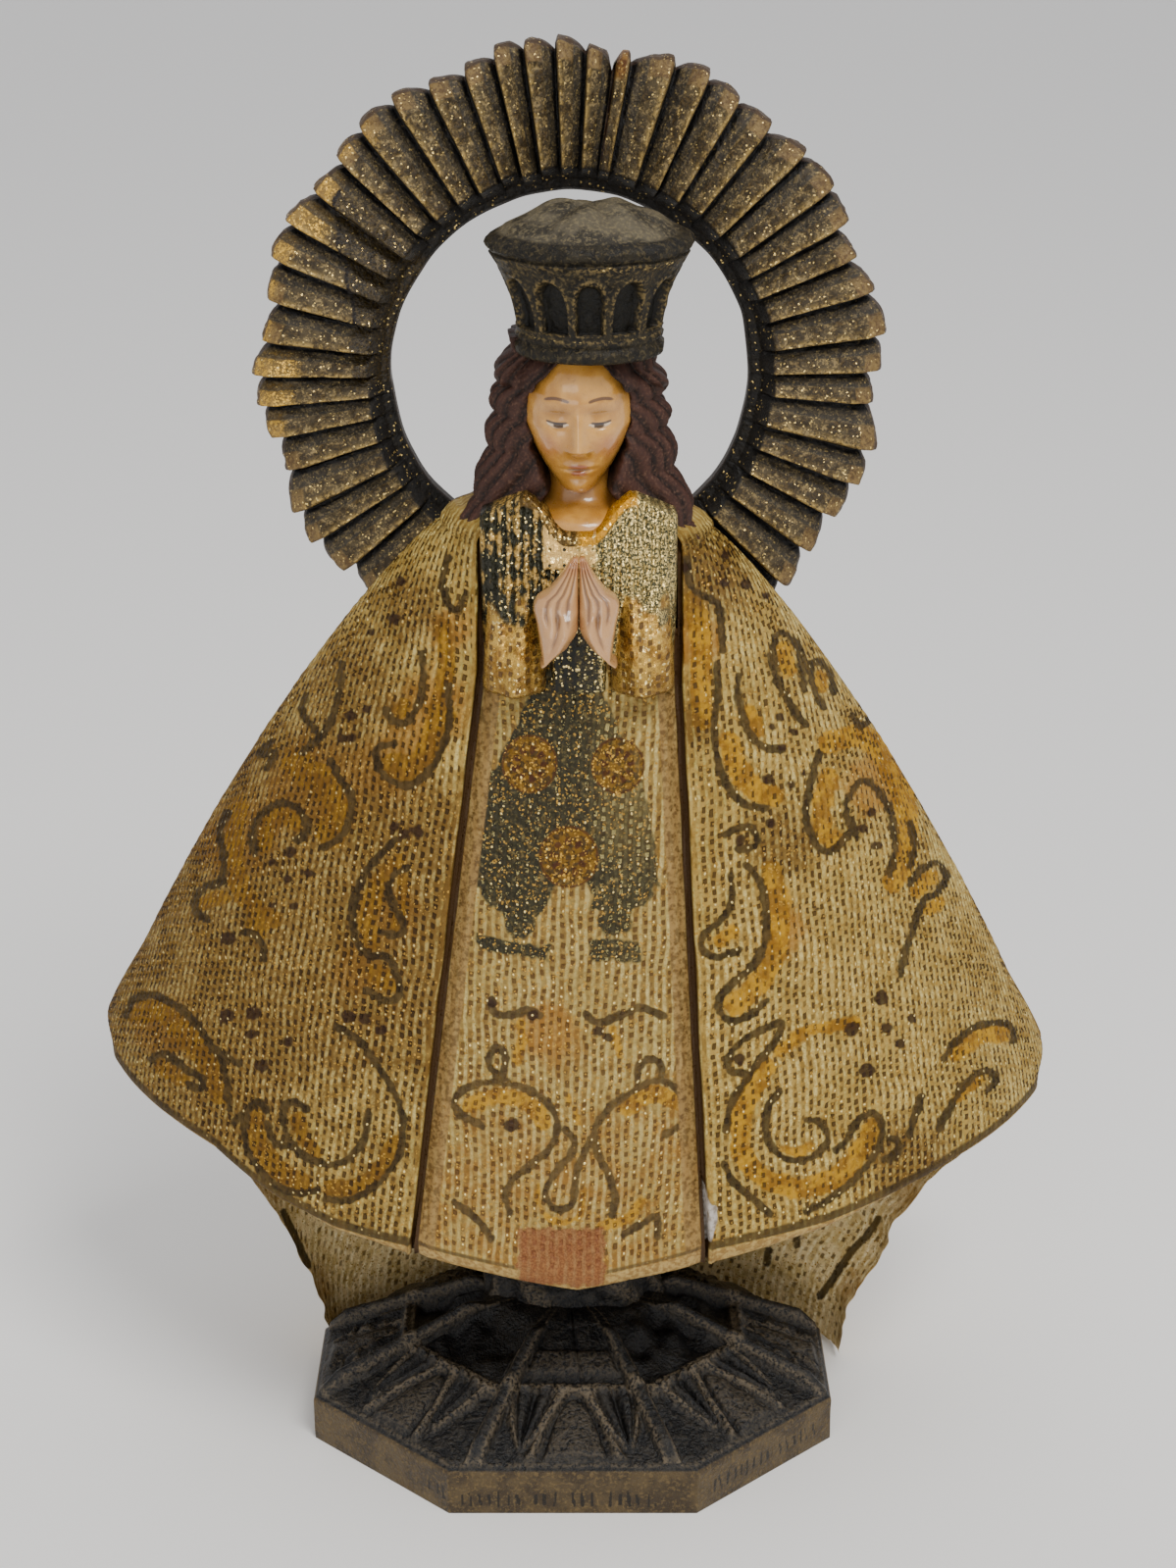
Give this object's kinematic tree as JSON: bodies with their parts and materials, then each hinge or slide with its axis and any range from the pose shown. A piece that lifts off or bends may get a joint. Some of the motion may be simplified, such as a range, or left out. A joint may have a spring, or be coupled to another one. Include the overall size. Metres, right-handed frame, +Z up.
{
  "type": "carved wooden santo",
  "caption": "Carved and gilded wooden figure of a crowned lady praying, in a wide stiff mantle with a trailing back, a fluted ring halo behind her head, on an octagonal carved base.",
  "frame": {"origin": "middle of the base's underside", "axes": "+Z up, the figure faces -Y, +X to the viewer's right"},
  "size_m": [0.1714, 0.0722, 0.2411],
  "materials": {
    "painted_wood": "satin",
    "gilded_wood": "satin",
    "black_wood": "gloss",
    "flesh_paint": "gloss",
    "hair_paint": "matte",
    "crown_gilding": "satin"
  },
  "bodies": {
    "root": {"figure": "painted_wood", "halo": "gilded_wood", "base": "black_wood"}
  },
  "joints": []
}
